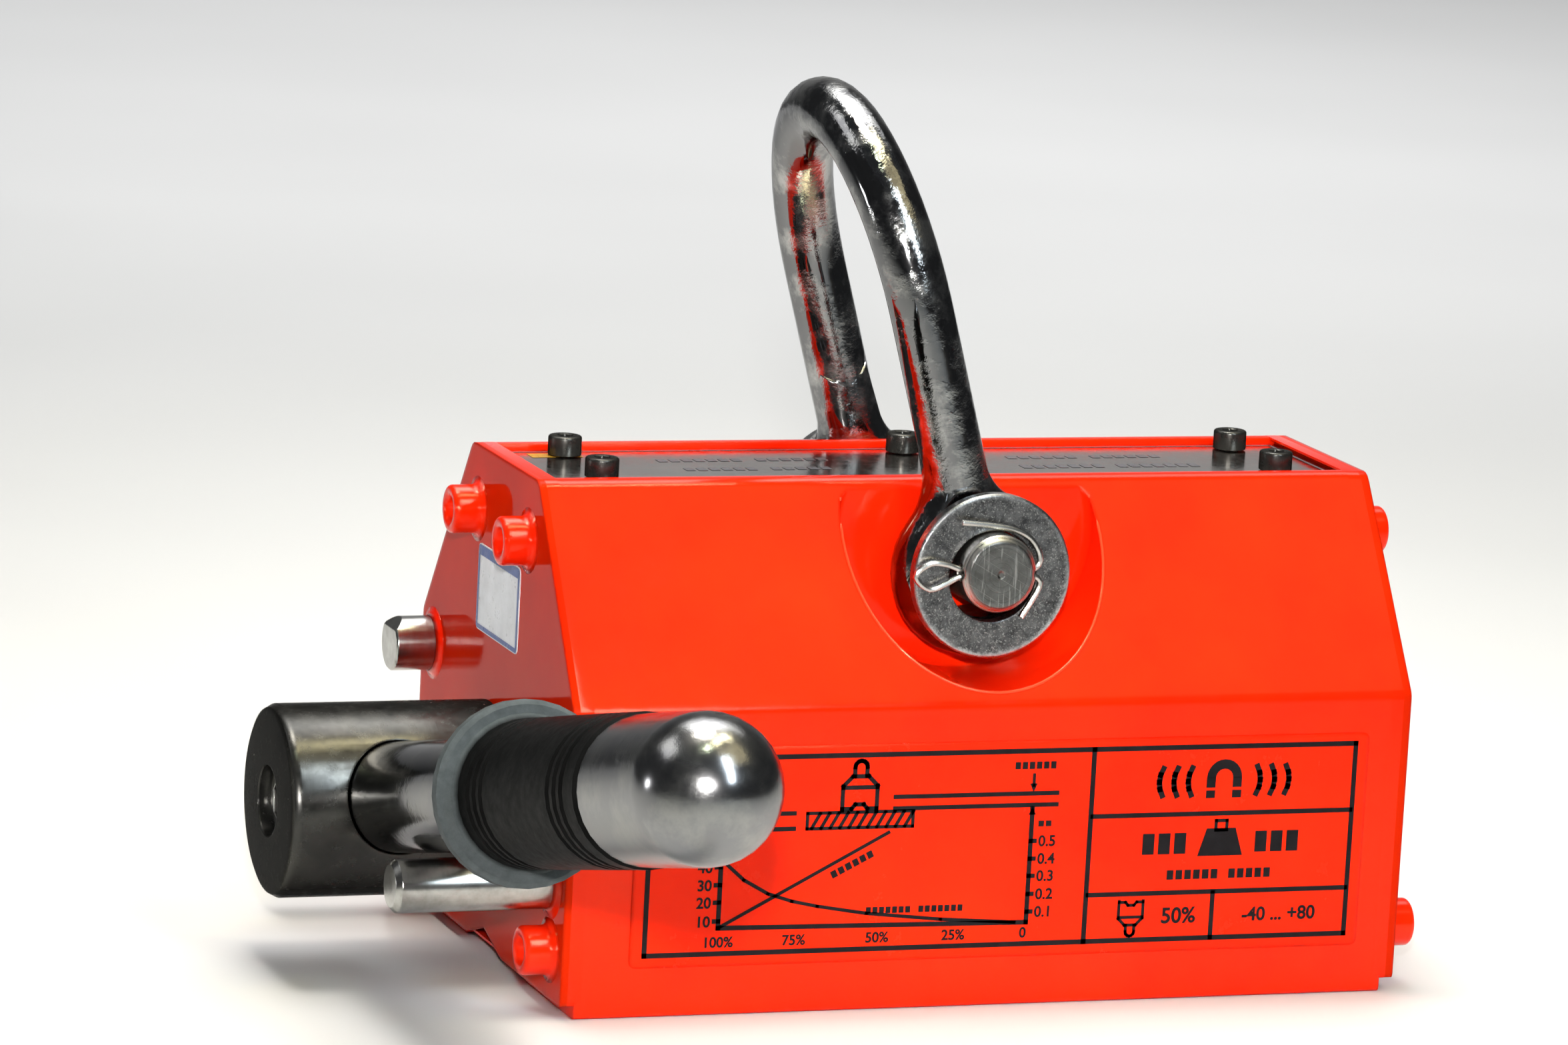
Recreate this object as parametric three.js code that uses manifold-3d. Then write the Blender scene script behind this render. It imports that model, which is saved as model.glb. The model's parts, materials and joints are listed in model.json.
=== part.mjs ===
// Permanent lifting magnet with a switching lever, in millimetres.
// +Z is up from the pole faces, +X runs along the body away from the lever hub, and the lever points to -Y.
// The body is laid out about its own middle; the finished group is then moved so that the origin is the
// bottom centre of everything.
import * as THREE from "three";
import { mergeVertices } from "three/addons/utils/BufferGeometryUtils.js";
import Module from "manifold-3d";

const wasm = await Module();
wasm.setup();

// ---- driving dimensions -------------------------------------------------------------------------
const GAP = 0.3; // air left between pieces that are clamped together
const REACH = 400; // longer than anything that is cut

const BODY = {
  halfLength: 88, // of the poles, without the end plates
  halfWidth: 52.2,
  topHalfWidth: 22.55,
  bend: 63.2, // height where the upright sides start to slope
  height: 104.4,
  edge: 1.2, // rounding of the long outer edges
  topEdge: 1.9, // and of the two along the top
};
const VEE = { halfWidth: 21, depth: 6.3 }; // groove along the bottom for round stock
const SPACER_HALF = 6; // half width of the brass bar in the bottom seam
const SEAM_HALF = 7; // half width of the gap between the poles above the rotor
const RECESS = { halfWidth: 18.9, floor: 100.6, edge: 0.6 }; // for the top cover
const COVER_TOP = 103;
const FIXED_MAGNET = { z0: 60, z1: 78 };
const PLATE = { thickness: 3, bottom: 2.7 };
const BORE = { radius: 24.3, z: 34.4 }; // rotor bore, and the axis of everything that turns with the lever

const POCKET = { radius: 28.2, z: 93.3, floor: 24 }; // round recess in each slope, for the shackle eye
const SHACKLE_PIN = { radius: 8, z: 88.8, halfLength: 47.9, chamfer: 1.3, bore: 8.3 };
const COTTER = { y: 45.2, wire: 0.65, spread: 0.8, hole: 1.75 };
const WASHER = { outer: 17, inner: 9.5, thickness: 3, y: 40.2 };

const SHACKLE = {
  tilt: THREE.MathUtils.degToRad(15.8), // it leans towards the hub end
  bar: 6.5,
  legY: 32.5,
  bowStart: 53, // height above the pin where the legs start to bend inwards
  bowHeight: 38.8,
  eyeY: 31.7,
  eyeDrop: 2.3, // of the round eye's centre below the pin's
  eyeRadius: 17.3,
  holeDrop: 1.2, // the slack hole hangs on the top of the pin
  hole: 9.5,
  eyeHalf: 6,
  fillet: 12,
  round: 5,
  neckTop: 31,
  neckHalf: 5.8,
};

const COVER_SCREW = { x: 74.4, y: 12.4, head: 3.5, headHeight: 4, shank: 2, tip: 98.3, across: 3, socket: 2.2 };
const END_SCREW = { head: 5, headHeight: 6, shank: 3, depth: 21, across: 5, socket: 3 };
const END_SCREW_AT = [
  [17.3, 91.1],
  [43.4, 12.6],
];

const DISC = { radius: 24, length: 7, bore: 12.8 };
const ROTOR = { radius: 23.8, capLength: 6, journal: 12.5, magnetHalf: 8, magnetReach: 20 };
const HUB = { radius: 19.85, length: 46.9, chamfer: 2, screwHole: 7.35, spigot: 9, spigotLength: 9.6 };
const GRUB = { radius: 7, length: 8.6, recess: 2.4, across: 8, socket: 5 };

const LEVER = {
  rise: THREE.MathUtils.degToRad(13.4), // above level, just clear of the front stop pin
  x: -115.5,
  radius: 11.3,
  root: -14,
  core: 9.5, // radius under the grip
  coreStart: 95.4,
  gripStart: 99,
  gripEnd: 176,
  grip: 14.5,
  flange: 18.2,
  flangeLength: 4.6,
  noseRadius: 14.1,
  noseStart: 176.3,
  tip: 222,
};

const STOP = { radius: 5.45, y: 42.2, z: 26.3, out: 33.5, depth: 22, chamfer: 1.1 };
const LATCH = { radius: 5.75, y: 44.4, z: 57.2, out: 9.6, bevel: 2.3, collar: 6.35, collarLength: 3.5, tail: 15 };
const SPRING = { radius: 3.9, wire: 0.6, turns: 5, bottom: 30 };

const FRONT_LABEL = { x0: -77, x1: 82, z0: 10.3, z1: 55.4 };
const END_LABEL = { y0: -14, y1: 14.5, z0: 66.7, z1: 84.7 };
const LABEL = { gap: 0.02, thickness: 0.2, corner: 1.5 };

// ---- materials ----------------------------------------------------------------------------------
const FINISH = {
  red: { color: 0xf02a10, roughness: 0.25, metalness: 0 },
  plate: { color: 0xa8a49c, roughness: 0.25, metalness: 1 },
  black: { color: 0x2a2a2a, roughness: 0.35, metalness: 0.8 },
  oxide: { color: 0x34332f, roughness: 0.3, metalness: 0.9 },
  chrome: { color: 0xd0d2d4, roughness: 0.12, metalness: 1 },
  steel: { color: 0xb0b0b0, roughness: 0.3, metalness: 1 },
  brass: { color: 0xc8a050, roughness: 0.35, metalness: 1 },
  nickel: { color: 0x9a9a98, roughness: 0.35, metalness: 1 },
  rubber: { color: 0x1c1c1c, roughness: 0.5, metalness: 0 },
  film: { color: 0xe83018, roughness: 0.2, metalness: 0 },
  paper: { color: 0xe8eaee, roughness: 0.3, metalness: 0 },
};

const part = new THREE.Group();
part.name = "lifting_magnet";

function add(name, geometry, finish, parent = part) {
  const mesh = new THREE.Mesh(geometry, new THREE.MeshStandardMaterial(FINISH[finish]));
  mesh.name = name;
  parent.add(mesh);
}

// ---- solids -------------------------------------------------------------------------------------
function toSolid(geometry) {
  const bare = geometry.clone();
  bare.deleteAttribute("normal");
  bare.deleteAttribute("uv");
  const merged = mergeVertices(bare, 1e-4);
  return new wasm.Manifold(
    new wasm.Mesh({
      numProp: 3,
      vertProperties: merged.attributes.position.array,
      triVerts: new Uint32Array(merged.index.array),
    }),
  );
}

function toGeometry(solid) {
  const mesh = solid.getMesh();
  return new THREE.BufferGeometry()
    .setAttribute("position", new THREE.BufferAttribute(mesh.vertProperties, 3))
    .setIndex(new THREE.BufferAttribute(mesh.triVerts, 1));
}

function cut(geometry, tools) {
  return toGeometry(tools.reduce((solid, tool) => solid.subtract(toSolid(tool)), toSolid(geometry)));
}

function join(geometries) {
  return toGeometry(geometries.map(toSolid).reduce((all, next) => all.add(next)));
}

function outline(points) {
  return new THREE.Shape(points.map(([a, b]) => new THREE.Vector2(a, b)));
}

// A [y, z] outline drawn out along X from x0 to x1.
function alongX(points, x0, x1) {
  const geometry = new THREE.ExtrudeGeometry(outline(points), { depth: x1 - x0, bevelEnabled: false });
  geometry.applyMatrix4(new THREE.Matrix4().set(0, 0, 1, x0, 1, 0, 0, 0, 0, 1, 0, 0, 0, 0, 0, 1));
  return geometry;
}

function box(x0, x1, y0, y1, z0, z1) {
  const geometry = new THREE.BoxGeometry(x1 - x0, y1 - y0, z1 - z0);
  return geometry.translate((x0 + x1) / 2, (y0 + y1) / 2, (z0 + z1) / 2);
}

// A [radius, length] profile turned about the Y axis, its length running to +Y.
function turned(profile, segments = 32) {
  return new THREE.LatheGeometry(
    profile.map(([r, t]) => new THREE.Vector2(r, t)),
    segments,
  );
}

// A plain round bar along Y with both ends chamfered.
function bar(radius, t0, t1, chamfer = 0, segments = 32) {
  if (!chamfer) {
    return turned([[0, t0], [radius, t0], [radius, t1], [0, t1]], segments);
  }
  return turned(
    [[0, t0], [radius - chamfer, t0], [radius, t0 + chamfer], [radius, t1 - chamfer], [radius - chamfer, t1], [0, t1]],
    segments,
  );
}

const FACE_X = -(BODY.halfLength + PLATE.thickness); // outer face of the left end plate

// Rounds the inner corners of a run of [a, b] points. A corner may bring its own radius, as [a, b, radius].
function softened(points, radius, steps = 3) {
  const vectors = points.map(([a, b]) => new THREE.Vector2(a, b));
  const towards = (from, to, reach) => to.clone().sub(from).setLength(reach).add(from);
  const arcs = vectors.slice(1, -1).flatMap((corner, i) => {
    const reach = points[i + 1][2] ?? radius;
    const start = towards(corner, vectors[i], reach);
    const end = towards(corner, vectors[i + 2], reach);
    return new THREE.QuadraticBezierCurve(start, corner, end).getPoints(steps);
  });
  return [vectors[0], ...arcs, vectors.at(-1)].map((v) => [v.x, v.y]);
}

// ---- body ---------------------------------------------------------------------------------------
const veeHeight = (y) => VEE.depth * (1 - y / VEE.halfWidth);

// Rotor bore's wall between the bottom seam and the top seam, as [y, z] points on the +Y side.
function boreWall(fromY, toY, segments = 30) {
  const a0 = -Math.acos(fromY / BORE.radius);
  const a1 = Math.acos(toY / BORE.radius);
  return Array.from({ length: segments + 1 }, (_, i) => {
    const a = a0 + ((a1 - a0) * i) / segments;
    return [BORE.radius * Math.cos(a), BORE.z + BORE.radius * Math.sin(a)];
  });
}

function poleOutline() {
  const inner = SPACER_HALF + GAP / 2;
  const outside = [
    [VEE.halfWidth, 0],
    [BODY.halfWidth, 0],
    [BODY.halfWidth, BODY.bend],
    [BODY.topHalfWidth, BODY.height, BODY.topEdge],
    [RECESS.halfWidth, BODY.height, RECESS.edge],
    [RECESS.halfWidth, RECESS.floor],
  ];
  return [
    ...softened(outside, BODY.edge),
    [SEAM_HALF, RECESS.floor],
    ...boreWall(inner, SEAM_HALF).reverse(),
    [inner, veeHeight(inner)],
  ];
}

// Turns what runs along +Y so that it runs outwards along X from one end of the body.
function outOfEnd(geometry, end, x, y, z) {
  return geometry.rotateZ((-end * Math.PI) / 2).translate(end * x, y, z);
}

function endHoles(radius, depth, end, y, z) {
  return outOfEnd(bar(radius, -depth, 1, 0, 24), end, BODY.halfLength, y, z);
}

function coverHoles(side) {
  return [-1, 0, 1].map((i) => {
    const hole = bar(COVER_SCREW.shank + GAP, 0, REACH, 0, 16).rotateX(Math.PI / 2);
    return hole.translate(i * COVER_SCREW.x, side * COVER_SCREW.y, COVER_SCREW.tip - GAP);
  });
}

function pocket(side) {
  const { radius, z, floor } = POCKET;
  const reach = BODY.halfWidth + 10;
  const hollow = turned(
    [[0, floor], [radius - BODY.edge, floor], [radius, floor + BODY.edge], [radius, reach], [0, reach]],
    72,
  );
  return hollow.rotateX(side > 0 ? 0 : Math.PI).translate(0, 0, z);
}

function shacklePinBore() {
  return bar(SHACKLE_PIN.bore, -REACH, REACH, 0, 36).translate(0, 0, SHACKLE_PIN.z);
}

function pole(side) {
  const tools = [pocket(side), shacklePinBore(), ...coverHoles(side)];
  END_SCREW_AT.forEach(([y, z]) =>
    [-1, 1].forEach((end) => tools.push(endHoles(END_SCREW.shank + GAP, END_SCREW.depth, end, side * y, z))),
  );
  tools.push(endHoles(STOP.radius + GAP, STOP.depth, -1, side * STOP.y, STOP.z));
  if (side > 0) {
    tools.push(endHoles(LATCH.collar + GAP, SPRING.bottom, -1, LATCH.y, LATCH.z));
  }
  const points = poleOutline().map(([y, z]) => [side * y, z]);
  return cut(alongX(points, -BODY.halfLength, BODY.halfLength), tools);
}

function poleSpacer() {
  const half = SPACER_HALF;
  const top = (y) => BORE.z - Math.sqrt(BORE.radius ** 2 - y ** 2);
  const rise = [1, 0.5, 0, -0.5, -1].map((k) => [k * half, top(k * half)]);
  const points = [[-half, veeHeight(half)], [0, VEE.depth], [half, veeHeight(half)], ...rise];
  return alongX(points, -BODY.halfLength + GAP, BODY.halfLength - GAP);
}

function endPlate(end) {
  const low = PLATE.bottom;
  const groove = VEE.halfWidth * (1 - low / VEE.depth);
  const rightSide = [[0, VEE.depth], [groove, low], [BODY.halfWidth, low], [BODY.halfWidth, BODY.bend]];
  const half = [...rightSide, [BODY.topHalfWidth, BODY.height, BODY.topEdge], [0, BODY.height]];
  const right = softened(half, BODY.edge).slice(0, -1);
  const left = right.slice(1).reverse().map(([y, z]) => [-y, z]);
  const inner = BODY.halfLength;
  const sheet = alongX([...right, ...left], Math.min(end * inner, end * (inner + PLATE.thickness)),
    Math.max(end * inner, end * (inner + PLATE.thickness)));
  const holes = END_SCREW_AT.flatMap(([y, z]) =>
    [-1, 1].map((side) => plateHole(END_SCREW.shank + GAP, end, side * y, z)),
  );
  if (end < 0) {
    holes.push(plateHole(DISC.bore, end, 0, BORE.z));
    holes.push(plateHole(STOP.radius + GAP, end, STOP.y, STOP.z));
    holes.push(plateHole(STOP.radius + GAP, end, -STOP.y, STOP.z));
    holes.push(plateHole(LATCH.radius + GAP, end, LATCH.y, LATCH.z));
  }
  return cut(sheet, holes);
}

function plateHole(radius, end, y, z) {
  return outOfEnd(bar(radius, -PLATE.thickness, 2 * PLATE.thickness, 0, 24), end, BODY.halfLength, y, z);
}

add("front_pole", pole(-1), "red");
add("rear_pole", pole(1), "red");
add("pole_spacer", poleSpacer(), "brass");
add("end_plate_left", endPlate(-1), "red");
add("end_plate_right", endPlate(1), "red");

// ---- between the poles --------------------------------------------------------------------------
const seam = SEAM_HALF - GAP;
const inside = BODY.halfLength - GAP;
add("fixed_magnet_left", box(-inside, -GAP / 2, -seam, seam, FIXED_MAGNET.z0, FIXED_MAGNET.z1), "nickel");
add("fixed_magnet_right", box(GAP / 2, inside, -seam, seam, FIXED_MAGNET.z0, FIXED_MAGNET.z1), "nickel");
const coreBlock = box(-inside, inside, -seam, seam, FIXED_MAGNET.z1 + GAP, RECESS.floor - GAP);
add("core_block", cut(coreBlock, [shacklePinBore()]), "brass");

function topCover() {
  const half = RECESS.halfWidth - GAP;
  const sheet = box(-inside, inside, -half, half, RECESS.floor + GAP, COVER_TOP);
  return cut(sheet, [...coverHoles(1), ...coverHoles(-1)]);
}
add("top_cover", topCover(), "plate");

// ---- screws -------------------------------------------------------------------------------------
// Socket head screw along +Y, with the underside of its head at 0.
function capScrew({ head, headHeight, shank, across, socket }, length) {
  const edge = 0.5;
  const profile = [
    [0, -length],
    [shank - edge, -length],
    [shank, -length + edge],
    [shank, 0],
    [head, 0],
    [head, headHeight - edge],
    [head - edge, headHeight],
    [0, headHeight],
  ];
  const key = bar(across / Math.sqrt(3), headHeight - socket, headHeight + 1, 0, 6);
  return cut(turned(profile, 20), [key]);
}

[-1, 0, 1].forEach((i) =>
  [-1, 1].forEach((side) => {
    const under = COVER_TOP + GAP;
    const screw = capScrew(COVER_SCREW, under - COVER_SCREW.tip).rotateX(Math.PI / 2);
    const name = ["left", "middle", "right"][i + 1] + (side < 0 ? "_front" : "_rear");
    add("cover_screw_" + name, screw.translate(i * COVER_SCREW.x, side * COVER_SCREW.y, under), "black");
  }),
);

[-1, 1].forEach((end) =>
  [-1, 1].forEach((side) =>
    END_SCREW_AT.forEach(([y, z], level) => {
      const screw = capScrew(END_SCREW, PLATE.thickness + GAP + END_SCREW.depth - 1);
      const name = [end < 0 ? "left" : "right", side < 0 ? "front" : "rear", level ? "lower" : "upper"];
      const under = BODY.halfLength + PLATE.thickness + GAP;
      add("end_screw_" + name.join("_"), outOfEnd(screw, end, under, side * y, z), "red");
    }),
  ),
);

// ---- stop pins and latch ------------------------------------------------------------------------
[-1, 1].forEach((side) => {
  const { radius, out, depth, chamfer } = STOP;
  const pin = bar(radius, -(PLATE.thickness + depth - 1), out, chamfer);
  add("stop_pin_" + (side < 0 ? "front" : "rear"), outOfEnd(pin, -1, -FACE_X, side * STOP.y, STOP.z), "steel");
});

// The latch pin's nose is cut off at a slope on its upper side.
function latchPin() {
  const { radius, out, bevel, collar, collarLength, tail, y, z } = LATCH;
  const shoulder = -PLATE.thickness - GAP;
  const blank = turned([
    [0, -tail],
    [radius - 1, -tail],
    [radius - 1, shoulder - collarLength],
    [collar, shoulder - collarLength],
    [collar, shoulder],
    [radius, shoulder],
    [radius, out - 0.4],
    [radius - 0.4, out],
    [0, out],
  ]);
  const slope = new THREE.BoxGeometry(REACH, bevel * 4, bevel * 4);
  slope.rotateX(Math.PI / 4).translate(0, out, radius + bevel * (Math.SQRT2 * 2 - 1));
  return outOfEnd(cut(blank, [slope]), -1, -FACE_X, y, z);
}
add("latch_pin", latchPin(), "steel");

class Coil extends THREE.Curve {
  constructor(radius, turns, start, end) {
    super();
    Object.assign(this, { radius, turns, start, end });
  }
  getPoint(t) {
    const a = 2 * Math.PI * this.turns * t;
    const along = THREE.MathUtils.lerp(this.start, this.end, t);
    return new THREE.Vector3(this.radius * Math.cos(a), along, this.radius * Math.sin(a));
  }
}

function disc(radius, segments) {
  return outline(
    Array.from({ length: segments }, (_, i) => {
      const a = (2 * Math.PI * i) / segments;
      return [radius * Math.cos(a), radius * Math.sin(a)];
    }),
  );
}

function swept(section, curve, steps) {
  return new THREE.ExtrudeGeometry(section, { extrudePath: curve, steps, bevelEnabled: false });
}

function latchSpring() {
  const { radius, wire, turns, bottom } = SPRING;
  const ends = [-(bottom + PLATE.thickness) + wire + GAP, -LATCH.tail - wire - GAP];
  const coil = swept(disc(wire, 6), new Coil(radius, turns, ...ends), 64);
  return outOfEnd(coil, -1, -FACE_X, LATCH.y, LATCH.z);
}
add("latch_spring", latchSpring(), "steel");

// ---- rotor --------------------------------------------------------------------------------------
[-1, 1].forEach((end) => {
  const { radius, length, bore } = DISC;
  const ring = turned([[bore, 0], [radius, 0], [radius, length], [bore, length], [bore, 0]], 48);
  const x = BODY.halfLength - GAP - length;
  add("bearing_disc_" + (end < 0 ? "left" : "right"), outOfEnd(ring, end, x, 0, BORE.z), "brass");
});

const CAP_OUT = BODY.halfLength - 2 * GAP - DISC.length; // outer face of the rotor's end caps
const CAP_IN = CAP_OUT - ROTOR.capLength;

// Everything that turns with the lever is laid out with the lever along +Y and swung to its rest angle.
const leverTurn = new THREE.Matrix4().makeRotationX(Math.PI - LEVER.rise);
function atRest(geometry, x = 0) {
  return geometry.applyMatrix4(leverTurn).translate(x, 0, BORE.z);
}

function rotorShoe(side) {
  const chord = ROTOR.magnetHalf + GAP;
  const reach = Math.acos(chord / ROTOR.radius);
  const points = Array.from({ length: 25 }, (_, i) => {
    const a = reach * (i / 12 - 1);
    return [side * ROTOR.radius * Math.cos(a), ROTOR.radius * Math.sin(a)];
  });
  return alongX(points, -CAP_IN + GAP, CAP_IN - GAP);
}

function rotorCap(end) {
  const { radius, capLength, journal } = ROTOR;
  const profile = [[0, 0], [radius, 0], [radius, capLength], [journal, capLength]];
  if (end < 0) {
    const shoulder = BODY.halfLength + PLATE.thickness - CAP_IN;
    profile.push([journal, shoulder], [HUB.spigot, shoulder], [HUB.spigot, shoulder + HUB.spigotLength]);
    profile.push([0, shoulder + HUB.spigotLength]);
  } else {
    const stub = capLength + DISC.length;
    profile.push([journal, stub], [0, stub]);
  }
  return outOfEnd(turned(profile, 40), end, CAP_IN, 0, 0);
}

const magnet = ROTOR.magnetHalf;
const rotorMagnet = box(-CAP_IN + GAP, CAP_IN - GAP, -magnet, magnet, -ROTOR.magnetReach, ROTOR.magnetReach);
add("rotor_magnet", atRest(rotorMagnet), "nickel");
add("rotor_shoe_near", atRest(rotorShoe(1)), "steel");
add("rotor_shoe_far", atRest(rotorShoe(-1)), "steel");
add("rotor_cap_left", atRest(rotorCap(-1)), "steel");
add("rotor_cap_right", atRest(rotorCap(1)), "steel");

// ---- hub and lever ------------------------------------------------------------------------------
const HUB_X = FACE_X - 0.5; // inner face, just clear of the end plate

function leverHub() {
  const { radius, length, chamfer, screwHole, spigot, spigotLength } = HUB;
  const blank = outOfEnd(
    turned(
      [
        [0, 0],
        [radius - 0.5, 0],
        [radius, 0.5],
        [radius, length - chamfer],
        [radius - 0.4 * chamfer, length - 0.25 * chamfer],
        [radius - chamfer, length],
        [0, length],
      ],
      64,
    ),
    -1,
    -HUB_X,
    0,
    0,
  );
  const seat = bar(LEVER.radius + GAP, LEVER.root - GAP, 2 * radius, 0, 48).translate(LEVER.x, 0, 0);
  const screw = outOfEnd(bar(screwHole, HUB_X - LEVER.x, length + 1, 0, 40), -1, -HUB_X, 0, 0);
  const journal = outOfEnd(bar(spigot + GAP, -1, spigotLength, 0, 40), -1, -HUB_X, 0, 0);
  return cut(blank, [seat, screw, journal]);
}
add("lever_hub", atRest(leverHub()), "oxide");

function grubScrew() {
  const { radius, length, recess, across, socket } = GRUB;
  const key = bar(across / Math.sqrt(3), length - socket, length + 1, 0, 6);
  const screw = cut(bar(radius, 0, length, 0.8, 32), [key]);
  return outOfEnd(screw, -1, -HUB_X + HUB.length - recess - length, 0, 0);
}
add("lever_grub_screw", atRest(grubScrew()), "steel");

function leverRod() {
  const { radius, root, core, coreStart, noseStart } = LEVER;
  return turned(
    [
      [0, root],
      [radius - 1, root],
      [radius, root + 1],
      [radius, coreStart],
      [core, coreStart],
      [core, noseStart + 20],
      [0, noseStart + 20],
    ],
    40,
  );
}
add("lever_rod", atRest(leverRod(), LEVER.x), "chrome");

// A run of fine rings cut round the grip.
function rings(start, count, pitch, radius, depth) {
  return Array.from({ length: count }, (_, i) => start + i * pitch).flatMap((t) => [
    [radius, t],
    [radius - depth, t + 0.2 * pitch],
    [radius - depth, t + 0.4 * pitch],
    [radius, t + 0.6 * pitch],
  ]);
}

function leverGrip() {
  const { core, grip, flange, flangeLength, gripStart, gripEnd } = LEVER;
  const inner = core + GAP;
  const face = gripStart + flangeLength;
  return turned(
    [
      [inner, gripStart],
      [flange - 0.8, gripStart],
      [flange, gripStart + 0.8],
      [flange, face - 1],
      [flange - 1, face],
      [grip + 1, face],
      [grip, face + 1],
      ...rings(face + 6, 3, 4, grip, 0.7),
      ...rings(gripEnd - 17, 3, 4, grip, 0.7),
      [grip, gripEnd - 0.8],
      [grip - 0.8, gripEnd],
      [inner, gripEnd],
      [inner, gripStart],
    ],
    32,
  );
}
add("lever_grip", atRest(leverGrip(), LEVER.x), "rubber");

function leverNose() {
  const { core, noseRadius, noseStart, tip } = LEVER;
  const seat = noseStart + 20 + GAP;
  const dome = Array.from({ length: 9 }, (_, i) => {
    const a = (Math.PI / 2) * (i / 8);
    return [i === 8 ? 0 : noseRadius * Math.cos(a), tip - noseRadius + noseRadius * Math.sin(a)];
  });
  const mouth = [[core + GAP, noseStart], [noseRadius - 0.6, noseStart], [noseRadius, noseStart + 0.6]];
  return turned([[0, seat], [core + GAP, seat], ...mouth, ...dome], 32);
}
add("lever_nose", atRest(leverNose(), LEVER.x), "chrome");

// ---- shackle ------------------------------------------------------------------------------------
// Directly below the pin at rest, in the shackle's own upright frame.
function below(drop) {
  return [-drop * Math.sin(SHACKLE.tilt), -drop * Math.cos(SHACKLE.tilt)];
}

// One side of the neck, from the straight leg down its fillet to the round eye, and the angle where they meet.
function neckSide(side) {
  const { eyeDrop, eyeRadius, fillet, bar: half } = SHACKLE;
  const [eyeX, eyeZ] = below(eyeDrop);
  const across = half + fillet;
  const reach = across - side * eyeX;
  const up = Math.sqrt((eyeRadius + fillet) ** 2 - reach ** 2);
  const meet = Math.atan2(up, reach);
  const points = Array.from({ length: 7 }, (_, i) => {
    const a = Math.PI + (meet * i) / 6;
    return [side * (across + fillet * Math.cos(a)), eyeZ + up + fillet * Math.sin(a)];
  });
  return { points, meet };
}

function eyeOutline() {
  const { eyeDrop, eyeRadius, neckTop, neckHalf } = SHACKLE;
  const [eyeX, eyeZ] = below(eyeDrop);
  const right = neckSide(1);
  const left = neckSide(-1);
  const sweep = Math.PI + right.meet + left.meet;
  const round = Array.from({ length: 27 }, (_, i) => {
    const a = right.meet - (sweep * (i + 1)) / 28;
    return [eyeX + eyeRadius * Math.cos(a), eyeZ + eyeRadius * Math.sin(a)];
  });
  return [[neckHalf, neckTop], ...right.points, ...round, ...left.points.reverse(), [-neckHalf, neckTop]];
}

function shackleEye(y) {
  const { eyeHalf, round } = SHACKLE;
  const eye = new THREE.ExtrudeGeometry(outline(eyeOutline()), {
    depth: 2 * (eyeHalf - round),
    bevelThickness: round,
    bevelSize: round,
    bevelOffset: -round,
    bevelSegments: 3,
  });
  return eye.rotateX(Math.PI / 2).translate(0, y + eyeHalf - round, 0);
}

function shackleBow() {
  const { legY, bowStart, bowHeight, eyeRadius } = SHACKLE;
  const points = [];
  for (let i = 0; i < 4; i++) {
    points.push(new THREE.Vector3(0, -legY, THREE.MathUtils.lerp(eyeRadius, bowStart, i / 4)));
  }
  for (let i = 0; i <= 24; i++) {
    const a = Math.PI * (1 - i / 24);
    points.push(new THREE.Vector3(0, legY * Math.cos(a), bowStart + bowHeight * Math.sin(a)));
  }
  for (let i = 3; i >= 0; i--) {
    points.push(new THREE.Vector3(0, legY, THREE.MathUtils.lerp(eyeRadius, bowStart, i / 4)));
  }
  return swept(disc(SHACKLE.bar, 24), new THREE.CatmullRomCurve3(points), 48);
}

function shackle() {
  const { eyeY, holeDrop, hole } = SHACKLE;
  const [x, z] = below(holeDrop);
  const body = join([shackleBow(), shackleEye(-eyeY), shackleEye(eyeY)]);
  const bored = cut(body, [bar(hole, -REACH, REACH, 0, 40).translate(x, 0, z)]);
  return bored.rotateY(-SHACKLE.tilt).translate(0, 0, SHACKLE_PIN.z);
}
add("shackle", shackle(), "chrome");

function shacklePin() {
  const { radius, z, halfLength, chamfer } = SHACKLE_PIN;
  const pin = bar(radius, -halfLength, halfLength, chamfer, 48);
  const holes = [-1, 1].map((side) =>
    bar(COTTER.hole, -2 * radius, 2 * radius, 0, 16).rotateZ(Math.PI / 2).translate(0, side * COTTER.y, 0),
  );
  return cut(pin, holes).translate(0, 0, z);
}
add("shackle_pin", shacklePin(), "steel");

function washer(side) {
  const { outer, inner, thickness, y } = WASHER;
  const edge = 0.4;
  const ring = turned(
    [
      [inner, 0],
      [outer - edge, 0],
      [outer, edge],
      [outer, thickness - edge],
      [outer - edge, thickness],
      [inner, thickness],
      [inner, 0],
    ],
    56,
  );
  const drop = inner - SHACKLE_PIN.radius - GAP; // it hangs on the pin by the top of its hole
  const start = side > 0 ? y : -y - thickness;
  return ring.translate(0, start, SHACKLE_PIN.z - drop);
}

// One wire: a leg bent back over the pin, through the pin, round the loop, back through, the other leg.
const COTTER_WIRE = [
  [-8.1, 10.4],
  [-0.8, 9.6],
  [4.2, 8.5],
  [6.9, 7],
  [8.8, 4.5],
  [9.3, 2.2],
  [8.3, 0.8],
  [5, 0.8],
  [-3, 0.8],
  [-8, 0.8],
  [-10.6, 1.7],
  [-14.4, 2],
  [-17.5, -0.5],
  [-14.4, -3.3],
  [-10.6, -2],
  [-8, -0.8],
  [-3, -0.8],
  [5, -0.8],
  [8.4, -0.9],
  [9.6, -2],
  [9, -4],
  [7.4, -6.8],
  [5.8, -9.4],
];

function cotterPin(side) {
  const points = COTTER_WIRE.map(([x, z]) => new THREE.Vector3(x, 0, z));
  const wire = swept(disc(COTTER.wire, 7), new THREE.CatmullRomCurve3(points), 84);
  return wire.translate(0, side * COTTER.y, SHACKLE_PIN.z);
}

[-1, 1].forEach((side) => {
  const where = side < 0 ? "front" : "rear";
  add("washer_" + where, washer(side), "steel");
  add("cotter_pin_" + where, cotterPin(side), "chrome");
});

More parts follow.
